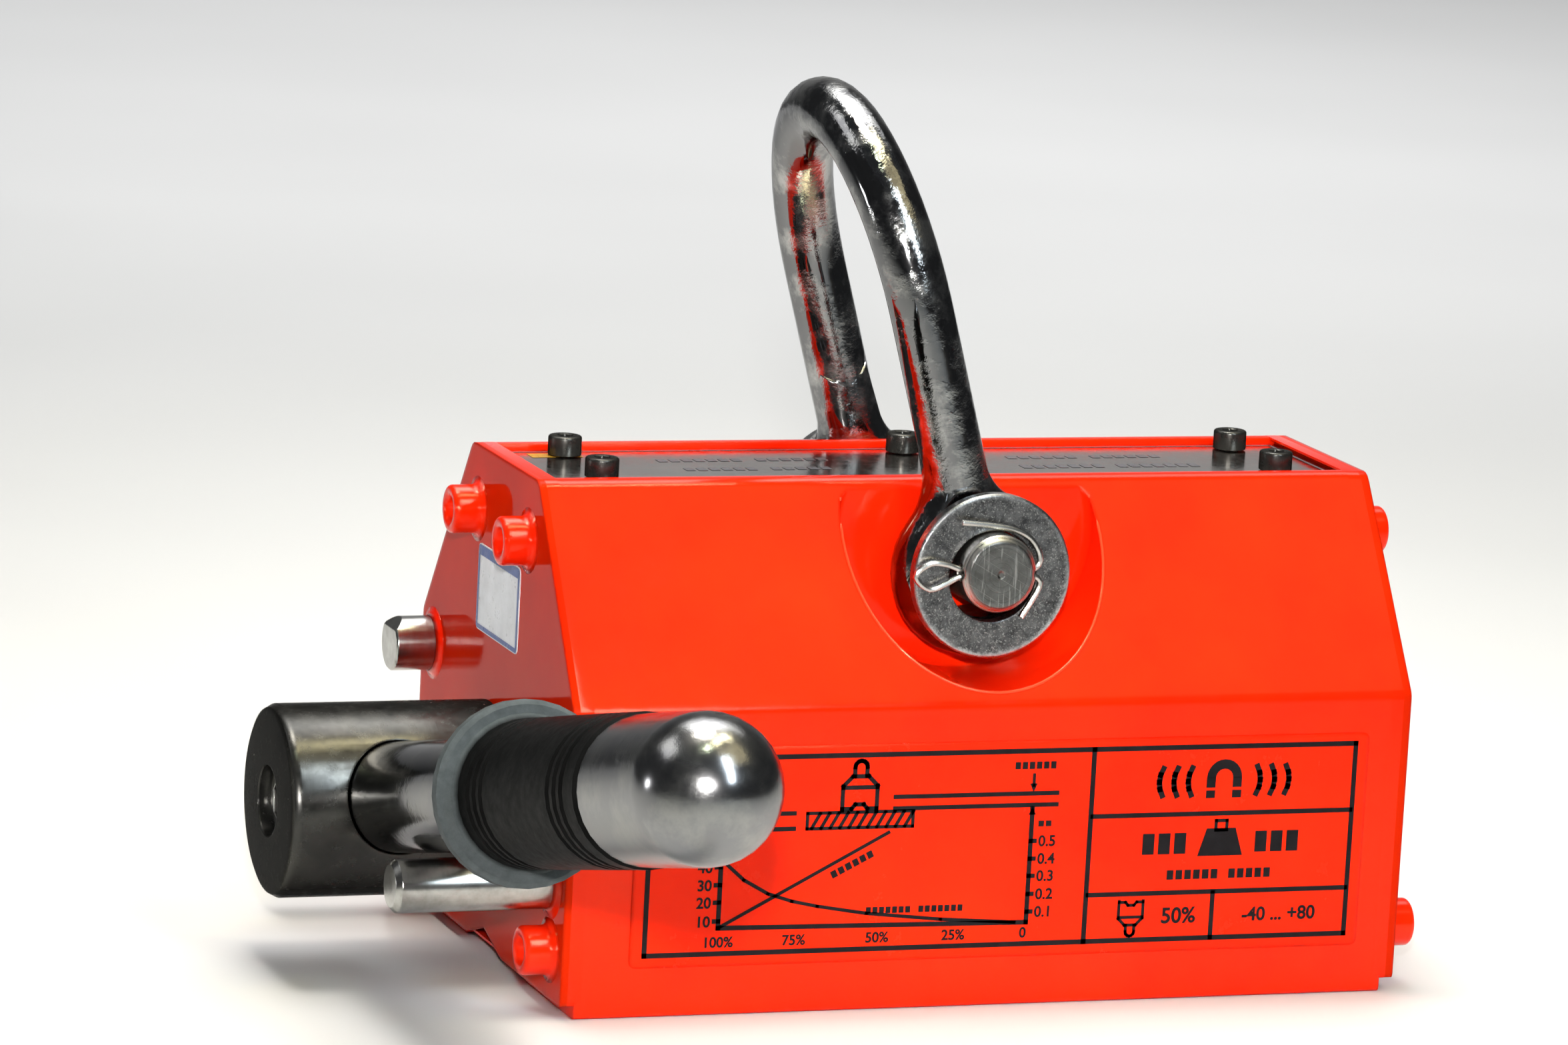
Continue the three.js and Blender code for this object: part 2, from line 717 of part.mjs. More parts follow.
// ---- labels -------------------------------------------------------------------------------------
function labelSheet(width, height) {
  const [a, b, r] = [width / 2, height / 2, LABEL.corner];
  const corners = [[0, b], [a, b], [a, -b], [-a, -b], [-a, b], [0, b]];
  return new THREE.ExtrudeGeometry(outline(softened(corners, r).slice(0, -1)), {
    depth: LABEL.thickness,
    bevelEnabled: false,
  });
}

function frontLabel() {
  const { x0, x1, z0, z1 } = FRONT_LABEL;
  const sheet = labelSheet(x1 - x0, z1 - z0).rotateX(Math.PI / 2);
  return sheet.translate((x0 + x1) / 2, -BODY.halfWidth - LABEL.gap, (z0 + z1) / 2);
}
add("front_label", frontLabel(), "film");

function endLabel() {
  const { y0, y1, z0, z1 } = END_LABEL;
  const sheet = labelSheet(y1 - y0, z1 - z0).rotateX(Math.PI / 2).rotateZ(-Math.PI / 2);
  return sheet.translate(FACE_X - LABEL.gap, (y0 + y1) / 2, (z0 + z1) / 2);
}
add("end_label", endLabel(), "paper");

// ---- origin -------------------------------------------------------------------------------------
const whole = new THREE.Box3().setFromObject(part);
part.position.set(-(whole.min.x + whole.max.x) / 2, -(whole.min.y + whole.max.y) / 2, -whole.min.z);

export default part;
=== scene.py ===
import json
import math

import bmesh
import bpy
from mathutils import Matrix, Vector

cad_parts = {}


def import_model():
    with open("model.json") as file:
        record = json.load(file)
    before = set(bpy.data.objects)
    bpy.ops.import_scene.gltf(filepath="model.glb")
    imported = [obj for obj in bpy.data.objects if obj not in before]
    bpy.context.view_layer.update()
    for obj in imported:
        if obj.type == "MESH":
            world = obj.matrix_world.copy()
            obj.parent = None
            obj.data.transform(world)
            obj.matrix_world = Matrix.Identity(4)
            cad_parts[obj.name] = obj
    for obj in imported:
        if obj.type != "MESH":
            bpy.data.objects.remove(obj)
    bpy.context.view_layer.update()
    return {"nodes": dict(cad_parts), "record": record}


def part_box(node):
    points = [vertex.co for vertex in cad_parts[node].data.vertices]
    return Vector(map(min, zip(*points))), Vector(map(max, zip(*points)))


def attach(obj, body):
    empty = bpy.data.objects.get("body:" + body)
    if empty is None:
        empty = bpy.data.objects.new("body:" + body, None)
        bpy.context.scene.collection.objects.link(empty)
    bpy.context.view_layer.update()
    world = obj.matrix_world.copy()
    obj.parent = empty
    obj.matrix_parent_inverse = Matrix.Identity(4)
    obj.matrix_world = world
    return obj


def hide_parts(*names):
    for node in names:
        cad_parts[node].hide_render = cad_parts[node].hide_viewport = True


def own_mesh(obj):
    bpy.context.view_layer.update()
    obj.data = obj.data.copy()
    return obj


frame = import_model()
nodes = frame["nodes"]
MM = 0.001
WELD = 0.002  # mm: CAD vertices closer than this are one
PRINT_GAP = 0.06  # mm between a face and the print on it


# ---- materials as node trees ---------------------------------------------------------------------
class Surface:
    """A Principled material whose textures read the object's own coordinates, in millimetres."""

    def __init__(self, name, **sockets):
        self.material = bpy.data.materials.new(name)
        self.material.use_nodes = True
        self.tree = self.material.node_tree
        self.shader = self.tree.nodes["Principled BSDF"]
        for key, value in sockets.items():
            self.shader.inputs[key.replace("_", " ")].default_value = value
        coordinates = self.add("ShaderNodeTexCoord")
        scaled = self.add("ShaderNodeVectorMath", operation="SCALE")
        scaled.inputs["Scale"].default_value = 1 / MM
        self.link(coordinates.outputs["Object"], scaled.inputs[0])
        self.mm = scaled.outputs[0]

    def add(self, kind, **settings):
        node = self.tree.nodes.new(kind)
        for key, value in settings.items():
            setattr(node, key, value)
        return node

    def link(self, source, target):
        self.tree.links.new(source, target)

    def feed(self, key, source):
        self.link(source, self.shader.inputs[key])

    def vector(self, operation, a, b):
        node = self.add("ShaderNodeVectorMath", operation=operation)
        self.link(a, node.inputs[0])
        node.inputs[1].default_value = b
        return node

    def stretched(self, x=1.0, y=1.0, z=1.0):
        return self.vector("MULTIPLY", self.mm, (x, y, z)).outputs[0]

    def along(self, direction, start):
        """Millimetres from start, measured along a direction."""
        offset = self.vector("SUBTRACT", self.mm, Vector(start) / MM).outputs[0]
        return self.vector("DOT_PRODUCT", offset, direction).outputs["Value"]

    def from_axis(self, start, keep):
        """Millimetres from an axis through start. keep is 0 along the axis and 1 across it."""
        offset = self.vector("SUBTRACT", self.mm, Vector(start) / MM).outputs[0]
        node = self.add("ShaderNodeVectorMath", operation="LENGTH")
        self.link(self.vector("MULTIPLY", offset, keep).outputs[0], node.inputs[0])
        return node.outputs["Value"]

    def noise(self, size, detail=3.0, roughness=0.55, vector=None):
        node = self.add("ShaderNodeTexNoise")
        node.inputs["Scale"].default_value = 1 / size
        node.inputs["Detail"].default_value = detail
        node.inputs["Roughness"].default_value = roughness
        self.link(vector or self.mm, node.inputs["Vector"])
        return node.outputs["Fac"]

    def rings(self, distance, pitch):
        """Uneven rings round an axis, such as a lathe leaves."""
        node = self.add("ShaderNodeTexNoise", noise_dimensions="1D")
        node.inputs["Scale"].default_value = 1 / pitch
        node.inputs["Detail"].default_value = 2.0
        self.link(distance, node.inputs["W"])
        return node.outputs["Fac"]

    def specks(self, spacing, size):
        """Scattered dots, 1 inside and 0 outside."""
        node = self.add("ShaderNodeTexVoronoi")
        node.inputs["Scale"].default_value = 1 / spacing
        self.link(self.mm, node.inputs["Vector"])
        return self.ramp(node.outputs["Distance"], (0.6 * size / spacing, 1.0), (size / spacing, 0.0))

    def ramp(self, fac, *stops):
        node = self.add("ShaderNodeValToRGB")
        elements = node.color_ramp.elements
        while len(elements) < len(stops):
            elements.new(0.5)
        for element, (position, colour) in zip(elements, stops):
            element.position = position
            grey = isinstance(colour, (int, float))
            element.color = (colour, colour, colour, 1) if grey else (*colour, 1)
        self.link(fac, node.inputs["Fac"])
        return node.outputs["Color"]

    def math(self, operation, a, b):
        node = self.add("ShaderNodeMath", operation=operation)
        for value, socket in ((a, node.inputs[0]), (b, node.inputs[1])):
            if isinstance(value, (int, float)):
                socket.default_value = value
            else:
                self.link(value, socket)
        return node.outputs[0]

    def mix(self, fac, a, b):
        node = self.add("ShaderNodeMix", data_type="RGBA")
        for value, socket in ((fac, node.inputs[0]), (a, node.inputs[6]), (b, node.inputs[7])):
            if isinstance(value, tuple):
                socket.default_value = (*value, 1)
            else:
                self.link(value, socket)
        return node.outputs[2]

    def bump(self, *layers, edge=0.0):
        """Stacks (height, strength, distance in mm) layers into one normal, over softened edges."""
        normal = None
        if edge:
            bevel = self.add("ShaderNodeBevel", samples=6)
            bevel.inputs["Radius"].default_value = edge * MM
            normal = bevel.outputs["Normal"]
        for height, strength, distance in layers:
            node = self.add("ShaderNodeBump")
            node.inputs["Strength"].default_value = strength
            node.inputs["Distance"].default_value = distance * MM
            self.link(height, node.inputs["Height"])
            if normal:
                self.link(normal, node.inputs["Normal"])
            normal = node.outputs["Normal"]
        self.feed("Normal", normal)


# ---- landmarks, all read from the CAD ------------------------------------------------------------
def mid(node):
    low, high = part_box(node)
    return (low + high) / 2


def extent(node):
    """A CAD node's width, depth and height in millimetres."""
    low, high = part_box(node)
    return (high - low) / MM


POLE_LOW, POLE_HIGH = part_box("front_pole")
BODY_X = (POLE_LOW.x + POLE_HIGH.x) / 2
BODY_Y = (POLE_LOW.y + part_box("rear_pole")[1].y) / 2
PLATE_LOW, PLATE_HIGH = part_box("end_plate_left")
SHACKLE_PIN = mid("shackle_pin")
PIN_RADIUS = extent("shackle_pin").z / 2
WASHER = mid("washer_front")
WASHER_RADIUS = extent("washer_front").x / 2
HUB_AXIS = mid("rotor_cap_right")
HUB_FACE = Vector((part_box("lever_hub")[0].x, HUB_AXIS.y, HUB_AXIS.z))
LEVER_FOOT = Vector((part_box("lever_rod")[0].x, HUB_AXIS.y, HUB_AXIS.z))


def at(x, y, z):
    """A point of the body's own layout, in millimetres from the middle of its underside."""
    return Vector((BODY_X + x * MM, BODY_Y + y * MM, z * MM))


NOSE_LOW, NOSE_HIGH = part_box("lever_nose")
NOSE_RADIUS = (NOSE_HIGH.x - NOSE_LOW.x) / 2
NOSE_CENTRE = Vector((mid("lever_nose").x, NOSE_LOW.y + NOSE_RADIUS, NOSE_HIGH.z - NOSE_RADIUS))
LEVER_WAY = (NOSE_CENTRE - Vector((NOSE_CENTRE.x, HUB_AXIS.y, HUB_AXIS.z))).normalized()


# ---- materials -----------------------------------------------------------------------------------
def enamel(name, gloss, level, peel=0.1, edge=1.2, painted_shade_scale=1.0, pale=0.0):
    """Orange-red paint. peel is its waviness and edge its rounding in mm; depth below 1 darkens the red as
    painted shade, and pale lightens it as a painted highlight.
    """
    s = Surface(name, Specular_IOR_Level=level, Specular_Tint=(1.0, 0.75, 0.5, 1))
    # the two ends of the tone, scaled down for painted shade and lightened for a painted highlight
    deep = (0.78 * painted_shade_scale, 0.011 + pale, 0.0008 + 0.4 * pale)
    light = (0.90 * painted_shade_scale, 0.019 + 2 * pale, 0.0012 + 0.8 * pale)
    s.feed("Base Color", s.ramp(s.noise(40, 4.0, 0.6), (0.3, deep), (0.7, light)))
    s.feed("Roughness", s.ramp(s.noise(9, 6.0, 0.7), (0.35, 0.7 * gloss), (0.7, 1.5 * gloss)))
    waves, grain, dust = s.noise(3.4, 2.0), s.noise(0.6, 2.0), s.specks(9, 0.35)
    s.bump((waves, peel, 0.25), (grain, 0.03, 0.06), (dust, 0.5, 0.06), edge=edge)
    return s.material


def chrome(name, dark, light, rough, grainy):
    """Plated steel, dark where it still shines and light where it has gone frosty."""
    s = Surface(name, Metallic=1.0, Specular_Tint=(0.7, 0.7, 0.7, 1))
    frosted = s.ramp(s.noise(11, 6.0, 0.68), (0.46, 0.0), (0.60, 1.0))
    s.feed("Base Color", s.mix(frosted, (dark, dark, dark * 1.03), (light, light, light * 0.98)))
    s.feed("Roughness", s.ramp(frosted, (0.0, rough), (1.0, rough + 0.3 * grainy)))
    grain = s.math("MULTIPLY", s.noise(0.7, 3.0), frosted)
    dents, ripples = s.noise(8, 2.0), s.noise(1.8, 4.0)
    s.bump((dents, 0.44 * grainy, 0.5), (grain, grainy, 0.18), (ripples, 0.12 * grainy, 0.12))
    return s.material


def steel(name, light):
    """Bright steel, turned along x."""
    s = Surface(name, Metallic=1.0)
    turning = s.noise(0.35, 3.0, 0.6, s.stretched(1, 0.05, 0.05))
    dark = 0.6 * light
    dull, bright = (dark, dark * 0.97, dark * 0.92), (light, light, light * 0.96)
    s.feed("Base Color", s.ramp(s.noise(5, 5.0, 0.7), (0.3, dull), (0.7, bright)))
    s.feed("Roughness", s.ramp(turning, (0.3, 0.20), (0.7, 0.26)))
    s.bump((turning, 0.02, 0.04), (s.noise(0.5, 3.0), 0.02, 0.05), edge=0.35)
    return s.material


def pin_steel():
    """Dark turned ends with a few scratches across, and the chamfer lighter as a painted highlight."""
    s = Surface("pin_end_grain", Metallic=1.0)
    distance = s.from_axis(SHACKLE_PIN, (1, 0, 1))
    turning = s.rings(distance, 0.45)
    across = s.noise(0.5, 2.0, 0.5, s.stretched(0.9, 1, -0.06))
    slanting = s.vector("DOT_PRODUCT", s.mm, (0.5, 0.0, 0.85)).outputs["Value"]
    broad = s.ramp(across, (0.62, 0.0), (0.68, 1.0))
    fine = s.ramp(s.rings(slanting, 0.16), (0.70, 0.0), (0.74, 1.0))
    scratch = s.math("MAXIMUM", broad, fine)
    face = s.ramp(s.noise(3, 5.0, 0.7), (0.3, (0.11, 0.11, 0.105)), (0.7, (0.20, 0.20, 0.195)))
    # painted highlight: the chamfer ring lighter than the face
    chamfer = s.ramp(s.math("DIVIDE", distance, PIN_RADIUS), (0.86, 0.0), (0.90, 1.0))
    s.feed("Base Color", s.mix(chamfer, s.mix(scratch, face, (0.34, 0.34, 0.33)), (0.52, 0.51, 0.48)))
    s.feed("Roughness", s.ramp(turning, (0.3, 0.24), (0.7, 0.38)))
    centre = s.ramp(distance, (0.5, 0.0), (0.9, 1.0))
    s.bump((turning, 0.25, 0.08), (scratch, 0.25, 0.06), (centre, 0.8, 0.4), edge=0.5)
    return s.material


def zinc():
    """Dull plating, dotted all over, with a painted highlight along the outer edge, strongest on its lower
    side.
    """
    s = Surface("washer_zinc", Metallic=1.0)
    tone = s.ramp(s.noise(3.5, 7.0, 0.8), (0.36, (0.05, 0.050, 0.053)), (0.64, (0.20, 0.20, 0.205)))
    dots = s.ramp(s.noise(0.32, 2.0, 0.7), (0.56, 0.0), (0.68, 1.0))
    # the edge comes out at 0.5, because a ramp reads only 0 to 1
    reach = s.math("DIVIDE", s.from_axis(WASHER, (1, 0, 1)), 2 * WASHER_RADIUS)
    zone = s.math("ADD", reach, s.math("MULTIPLY", s.noise(1.1, 4.0, 0.8), 0.08))
    # painted highlight: the outer rim lighter, most of all on the lower side
    below = s.math("DIVIDE", s.along((0.35, 0.0, -0.94), WASHER), WASHER_RADIUS)
    low_side = s.ramp(below, (0.0, 0.35), (0.7, 1.0))
    painted_rim_highlight = s.math("MULTIPLY", s.ramp(zone, (0.500, 0.0), (0.530, 1.0)), low_side)
    dotted = s.mix(dots, tone, (0.42, 0.42, 0.41))
    s.feed("Base Color", s.mix(painted_rim_highlight, dotted, (0.60, 0.61, 0.62)))
    s.feed("Roughness", s.ramp(s.noise(1.2, 5.0, 0.7), (0.3, 0.22), (0.7, 0.42)))
    s.bump((s.noise(0.45, 3.0), 0.25, 0.08), (s.noise(6, 2.0), 0.1, 0.2), edge=0.6)
    return s.material


def oxide(name, low, high, rough, edge):
    """Blackened steel with fine turning marks and specks of dust."""
    s = Surface(name, Metallic=0.86, Specular_IOR_Level=0.1, Specular_Tint=(0.14, 0.14, 0.14, 1))
    turning = s.noise(0.5, 3.0, 0.6, s.stretched(1, 0.04, 0.04))
    dust = s.specks(5.5, 0.22)
    black, brown = (low, low, low * 0.97), (high, high * 0.98, high * 0.9)
    tone = s.ramp(s.noise(16, 5.0, 0.65), (0.3, black), (0.7, brown))
    s.feed("Base Color", s.mix(dust, tone, (0.5, 0.5, 0.48)))
    s.feed("Roughness", s.ramp(s.noise(3, 6.0, 0.7), (0.35, 0.75 * rough), (0.7, 1.35 * rough)))
    s.bump((turning, 0.10, 0.06), (dust, 0.4, 0.08), (s.noise(0.9, 3.0), 0.05, 0.08), edge=edge)
    return s.material


def grip():
    """Black rubber. The flange and its face towards the hub are grey."""
    s = Surface("moulded_grip", Specular_IOR_Level=0.022)
    flange_end = 103.8
    reach = 200.0  # mm, past the grip's far end, because a ramp reads only 0 to 1
    share = s.math("DIVIDE", s.along(LEVER_WAY, LEVER_FOOT), reach)
    zone = s.ramp(share, (flange_end / reach, 1.0), ((flange_end + 0.8) / reach, 0.0))
    black = s.ramp(s.noise(7, 4.0, 0.65), (0.3, (0.003, 0.003, 0.003)), (0.7, (0.007, 0.007, 0.007)))
    grey = s.ramp(s.noise(4, 5.0, 0.7), (0.3, (0.055, 0.064, 0.067)), (0.7, (0.095, 0.108, 0.112)))
    s.feed("Base Color", s.mix(zone, black, grey))
    s.feed("Roughness", s.ramp(s.noise(2.5, 4.0, 0.7), (0.3, 0.42), (0.7, 0.56)))
    s.bump((s.noise(0.8, 3.0), 0.012, 0.05), (s.noise(6, 2.0), 0.03, 0.3))
    return s.material


def nameplate():
    """Rolled sheet, glossy and a little warm."""
    s = Surface("nameplate_sheet", Metallic=1.0)
    s.feed("Base Color", s.ramp(s.noise(26, 4.0, 0.6), (0.3, (0.48, 0.45, 0.42)), (0.7, (0.62, 0.59, 0.55))))
    s.feed("Roughness", s.ramp(s.noise(2.2, 5.0, 0.7), (0.3, 0.09), (0.7, 0.22)))
    grain, waves, dust = s.noise(0.35, 1.0), s.noise(14, 2.0), s.specks(3.5, 0.2)
    s.bump((grain, 0.22, 0.03), (waves, 0.08, 0.4), (dust, 0.6, 0.05))
    return s.material


def brass():
    """Brass, milled along x and z."""
    s = Surface("machined_brass", Metallic=1.0)
    s.feed("Base Color", s.ramp(s.noise(8, 3.0), (0.3, (0.50, 0.33, 0.12)), (0.7, (0.62, 0.43, 0.18))))
    s.feed("Roughness", s.ramp(s.noise(3, 4.0), (0.3, 0.3), (0.7, 0.45)))
    s.bump((s.noise(0.8, 3.0, 0.5, s.stretched(1, 0.1, 1)), 0.1, 0.1), edge=0.3)
    return s.material


def printed(name, colour, rough=0.3, level=0.5):
    """Ink or coloured film."""
    s = Surface(name, Specular_IOR_Level=level)
    light = tuple(min(1.0, 1.25 * c + 0.004) for c in colour)
    s.feed("Base Color", s.ramp(s.noise(5, 4.0, 0.7), (0.35, colour), (0.7, light)))
    s.feed("Roughness", s.ramp(s.noise(2, 4.0, 0.7), (0.3, 0.8 * rough), (0.7, 1.4 * rough)))
    s.bump((s.noise(0.5, 2.0), 0.05, 0.03))
    return s.material


RED = enamel("red_enamel", 0.11, 0.28)
RED_FLAT = enamel("red_enamel_over_joints", 0.11, 0.28, edge=0.0)
# the end plates: the same red paint, darkened in its base colour as painted shade
RED_ENDS_SHADED = enamel("red_enamel_ends_painted_shade", 0.06, 0.04, 0.05, painted_shade_scale=0.66)
# the bead along each pocket's edge: its red lightened as a painted highlight
RED_BEAD = enamel("red_enamel_bead_painted_highlight", 0.12, 0.6, 0.3, edge=0.0, pale=0.022)
RED_SCREW = enamel("red_enamel_screws", 0.09, 0.36, 0.05)
FILM = enamel("label_film_over_red", 0.20, 0.20, 0.03)
CHROME = chrome("chrome_shackle", 0.20, 0.44, 0.07, 0.5)
CHROME_ROD = chrome("chrome_rod", 0.20, 0.25, 0.10, 0.1)
CHROME_NOSE = chrome("chrome_nose", 0.26, 0.33, 0.19, 0.15)
STEEL = steel("turned_steel", 0.55)
COTTER = steel("bright_wire", 0.66)
CORE_STEEL = steel("machined_steel", 0.42)
OXIDE = oxide("hub_gun_oxide", 0.040, 0.085, 0.24, 0.6)
BLACK = oxide("screw_black_oxide", 0.05, 0.09, 0.30, 0.2)
WHITE = printed("sticker_white", (0.66, 0.68, 0.72))
BLUE = printed("sticker_blue", (0.03, 0.07, 0.26))
INK = printed("label_ink", (0.004, 0.003, 0.004), 0.35, 0.15)
GREY_INK = printed("nameplate_ink", (0.07, 0.07, 0.08))
YELLOW_INK = printed("nameplate_yellow", (0.36, 0.19, 0.012))
LOOKS = {
    "red_paint": RED,
    "black_oxide": BLACK,
    "brass": brass(),
    "magnet_nickel": CORE_STEEL,
    "cover_plate": nameplate(),
    "bright_steel": STEEL,
    "rotor_steel": CORE_STEEL,
    "hub_oxide": OXIDE,
    "chrome": CHROME,
    "zinc": zinc(),
    "grip_rubber": grip(),
    "label_film": FILM,
    "label_paper": WHITE,
}
LOOK_OF_NODE = {
    "end_plate_left": RED_ENDS_SHADED,
    "end_plate_right": RED_ENDS_SHADED,
    "shackle_pin": pin_steel(),
    "cotter_pin_front": COTTER,
    "cotter_pin_rear": COTTER,
    "lever_rod": CHROME_ROD,
    "lever_nose": CHROME_NOSE,
}


# ---- CAD nodes -----------------------------------------------------------------------------------
def smoothing_group():
    """Welds the CAD mesh and shades it smooth up to 32 degrees between faces."""
    group = bpy.data.node_groups.new("weld_and_smooth", "GeometryNodeTree")
    group.interface.new_socket("Geometry", in_out="INPUT", socket_type="NodeSocketGeometry")
    group.interface.new_socket("Geometry", in_out="OUTPUT", socket_type="NodeSocketGeometry")
    add = group.nodes.new
    start, end = add("NodeGroupInput"), add("NodeGroupOutput")
    weld = add("GeometryNodeMergeByDistance")
    weld.inputs["Distance"].default_value = WELD * MM
    soft = add("GeometryNodeSetShadeSmooth")
    soft.domain = "FACE"
    angle = add("GeometryNodeInputMeshEdgeAngle")
    compare = add("FunctionNodeCompare")
    compare.data_type = "FLOAT"
    compare.operation = "GREATER_THAN"
    compare.inputs["B"].default_value = math.radians(32)
    sharp = add("GeometryNodeSetShadeSmooth")
    sharp.domain = "EDGE"
    sharp.inputs["Shade Smooth"].default_value = False
    links = group.links.new
    links(start.outputs[0], weld.inputs["Geometry"])
    links(weld.outputs["Geometry"], soft.inputs["Geometry"])
    links(soft.outputs["Geometry"], sharp.inputs["Geometry"])
    links(angle.outputs["Unsigned Angle"], compare.inputs["A"])
    links(compare.outputs["Result"], sharp.inputs["Selection"])
    links(sharp.outputs["Geometry"], end.inputs[0])
    return group


SMOOTHING = smoothing_group()
slot_of = {row["node"]: row["material_slot"] for row in frame["record"]["subparts"]}
for name, obj in nodes.items():
    obj.data.materials.clear()
    obj.data.materials.append(LOOK_OF_NODE.get(name, LOOKS[slot_of[name]]))
    obj.modifiers.new("smooth", "NODES").node_group = SMOOTHING
    obj.modifiers.new("weighted", "WEIGHTED_NORMAL").keep_sharp = True


# ---- extra pieces --------------------------------------------------------------------------------
def piece(name, bm, material, body, slot, replaced=None, sharp=38):
    """Makes a visual piece. Edges over sharp degrees stay sharp."""
    mesh = bpy.data.meshes.new(name)
    bm.normal_update()
    bm.to_mesh(mesh)
    bm.free()
    mesh.materials.append(material)
    mesh.polygons.foreach_set("use_smooth", [True] * len(mesh.polygons))
    mesh.set_sharp_from_angle(angle=math.radians(sharp))
    obj = bpy.data.objects.new(name, mesh)
    bpy.context.scene.collection.objects.link(obj)
    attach(obj, body)
    if replaced:
        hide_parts(replaced)
    return obj


def turned(origin, axis, profile, sides=48, closed=False, hex_turn=0.0):
    """
    A turned solid of (radius, height) rings. A third number from 0 to 1 makes a ring hexagonal, with
    its radius then half the width across the flats.
    """
    up = Vector(axis).normalized()
    right = up.orthogonal().normalized()
    ahead = up.cross(right)
    bm = bmesh.new()
    rings = []
    for radius, height, *hexed in profile:
        share = hexed[0] if hexed else 0.0
        ring = []
        for i in range(sides):
            t = 2 * math.pi * i / sides
            six = 1 / math.cos((t + hex_turn + math.pi / 6) % (math.pi / 3) - math.pi / 6)
            reach = radius * (1 + share * (six - 1)) * MM
            out = right * math.cos(t) + ahead * math.sin(t)
            ring.append(bm.verts.new(origin + reach * out + up * height * MM))
        rings.append(ring)
    pairs = list(zip(rings, rings[1:]))
    if closed:
        pairs.append((rings[-1], rings[0]))
    else:
        bm.faces.new(rings[0][::-1])
        bm.faces.new(rings[-1])
    for lower, upper in pairs:
        for i in range(sides):
            j = (i + 1) % sides
            bm.faces.new((lower[i], lower[j], upper[j], upper[i]))
    return bm


def arc(radius, height, size, steps=5):
    """Points rounding an outer corner of a profile at (radius, height)."""
    angles = [math.radians(90 * i / steps) for i in range(steps + 1)]
    return [(radius - size + size * math.cos(a), height - size + size * math.sin(a)) for a in angles]


def cover_screw(node):
    """An M4 socket head screw with a rounded head."""
    head, tall, shank, socket = 3.5, 4.0, 2.0, 1.5
    length = extent(node).z
    profile = [(shank - 0.4, -length), (shank, 0.4 - length), (shank, -tall)]
    profile += [(head - 0.05, -tall), (head, 0.1 - tall)]
    profile += arc(head, 0.0, 0.55)
    profile += [(socket + 0.25, 0.0), (socket, -0.2, 1.0), (socket, -2.1, 1.0), (0.6, -2.4, 0.5)]
    origin = Vector((mid(node).x, mid(node).y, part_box(node)[1].z))
    piece(node + "_smooth", turned(origin, (0, 0, 1), profile), BLACK, "body", "black_oxide", node)


def end_screw(node):
    """An M6 socket head screw with paint bridging the foot of its head and rounding its socket."""
    left = "left" in node
    head, shank = 5.04, 3.0
    length = extent(node).x
    profile = [(shank - 0.5, -length), (shank, 0.5 - length), (shank, -6.34)]
    profile += [(6.9, -6.32), (6.2, -6.2), (5.55, -5.95), (5.15, -5.5), (head, -4.8)]
    profile += arc(head, 0.02, 0.9, 6)
    profile += [(3.4, 0.0, 0.2), (2.85, -0.2, 0.7), (2.5, -0.7, 0.85)]
    profile += [(2.42, -2.2, 0.85), (2.0, -2.75, 0.6), (0.7, -2.9)]
    origin = Vector((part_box(node)[0 if left else 1].x, mid(node).y, mid(node).z))
    solid = turned(origin, (-1 if left else 1, 0, 0), profile, 60, hex_turn=socket_angle(node))
    piece(node + "_painted", solid, RED_SCREW, "body", "red_paint", node, 50)


def socket_angle(name):
    """A repeatable angle from 0 to 60 degrees for each name, so that the sockets don't all stand alike."""
    return math.radians(sum(i * ord(c) for i, c in enumerate(name)) * 7 % 60)


for name in nodes:
    if name.startswith("cover_screw"):
        cover_screw(name)
    if name.startswith("end_screw"):
        end_screw(name)


def paint_fillet(name, y, z, radius):
    """Paint that has gathered where a pin comes out of the left end plate."""
    foot = min(radius + 2.2, (PLATE_HIGH.y - y) / MM - 0.1)
    profile = [(radius, 1.1), (radius, -0.2), (foot, -0.2), (foot, 0.02), (radius + 1.3, 0.12)]
    profile += [(radius + 0.6, 0.4), (radius + 0.2, 0.8)]
    ring = turned(Vector((PLATE_LOW.x, y, z)), (-1, 0, 0), profile[::-1], closed=True)
    piece(name, ring, RED_SCREW, "body", "red_paint")


STOP_PIN_RADIUS = extent("stop_pin_front").z / 2
LATCH_HOLE_RADIUS = 5.87  # just clear of the sliding pin, which has a wider collar inside
for name, radius in (
    ("stop_pin_front", STOP_PIN_RADIUS),
    ("stop_pin_rear", STOP_PIN_RADIUS),
    ("latch_pin", LATCH_HOLE_RADIUS),
):
    paint_fillet("paint_round_" + name, mid(name).y, mid(name).z, radius)


